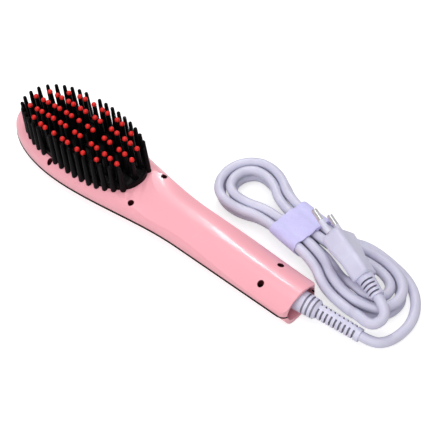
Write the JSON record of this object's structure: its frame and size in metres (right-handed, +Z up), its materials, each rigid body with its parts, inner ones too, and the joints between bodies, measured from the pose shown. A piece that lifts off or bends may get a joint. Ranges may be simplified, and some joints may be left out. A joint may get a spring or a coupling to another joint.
{
  "type": "heated straightening brush",
  "caption": "Heated hair straightening paddle brush with bristle pad, control buttons, swivel cord exit, and its mains cord in a tied hank with a two-pin plug.",
  "frame": {"origin": "middle of the brush's body, on the flat of the back cover that lies on the table", "axes": "+X along the brush from the paddle's tip to the cord's exit, +Z up out of the bristle pad, +Y to the side where the hank lies"},
  "size_m": [0.3211, 0.1058, 0.047],
  "materials": {
    "shell_pink": "satin, moulded",
    "trim_black": "matt",
    "pad_black": "satin",
    "plate_metal": "dark coated",
    "comb_black": "coated",
    "cap_red": "matt",
    "element_white": "ceramic",
    "steel": "bare",
    "overlay_black": "gloss",
    "window_clear": "tinted",
    "board_green": "solder mask",
    "display_dark": "gloss",
    "electronics_black": "moulded",
    "button_white": "satin",
    "swivel_grey": "moulded",
    "brass": "bare",
    "boot_grey": "moulded",
    "cord_grey": "smooth",
    "tie_lilac": "smooth",
    "plug_grey": "moulded",
    "pin_nickel": "plated",
    "sleeve_grey": "moulded",
    "lead_red": "insulated",
    "lead_brown": "insulated"
  },
  "bodies": {
    "brush": {"front_shell": "shell_pink", "back_cover": "shell_pink", "seam_trim": "trim_black", "pad_frame": "pad_black", "heater_plate": "plate_metal", "comb_middle": "comb_black", "comb_near": "comb_black", "comb_far": "comb_black", "comb_near_edge": "comb_black", "comb_far_edge": "comb_black", "caps_middle": "cap_red", "caps_near": "cap_red", "caps_far": "cap_red", "caps_near_edge": "cap_red", "caps_far_edge": "cap_red", "heating_element": "element_white", "heater_clamp": "steel", "thermal_fuse": "element_white", "temperature_sensor": "electronics_black", "case_screws": "steel", "panel_overlay": "overlay_black", "display_window": "window_clear", "control_board": "board_green", "display_module": "display_dark", "push_switches": "electronics_black", "board_parts": "electronics_black", "contact_holder": "electronics_black", "contact_leaves": "brass", "heater_leads": "lead_red", "mains_leads": "lead_brown", "cord_lead": "cord_grey", "cord_hank": "cord_grey", "cord_plug_lead": "cord_grey", "cable_tie": "tie_lilac", "plug_body": "plug_grey", "plug_pins": "pin_nickel", "pin_sleeves": "sleeve_grey"},
    "power_button": {"power_button": "button_white"},
    "plus_button": {"plus_button": "button_white"},
    "minus_button": {"minus_button": "button_white"},
    "swivel": {"swivel_core": "swivel_grey", "slip_rings": "brass", "cord_boot": "boot_grey"}
  },
  "joints": [
    {"name": "power_press", "type": "slide", "parent": "brush", "child": "power_button", "axis": [0, 0, 1], "range_m": [0, 0.0006], "stiffness_N_per_m": 800},
    {"name": "plus_press", "type": "slide", "parent": "brush", "child": "plus_button", "axis": [0, 0, 1], "range_m": [0, 0.0006], "stiffness_N_per_m": 800},
    {"name": "minus_press", "type": "slide", "parent": "brush", "child": "minus_button", "axis": [0, 0, 1], "range_m": [0, 0.0006], "stiffness_N_per_m": 800},
    {"name": "cord_swivel", "type": "hinge", "parent": "brush", "child": "swivel", "pos_m": [0.117, 0, 0.012], "axis": [0.9888, 0.1214, -0.0872], "continuous": true}
  ]
}
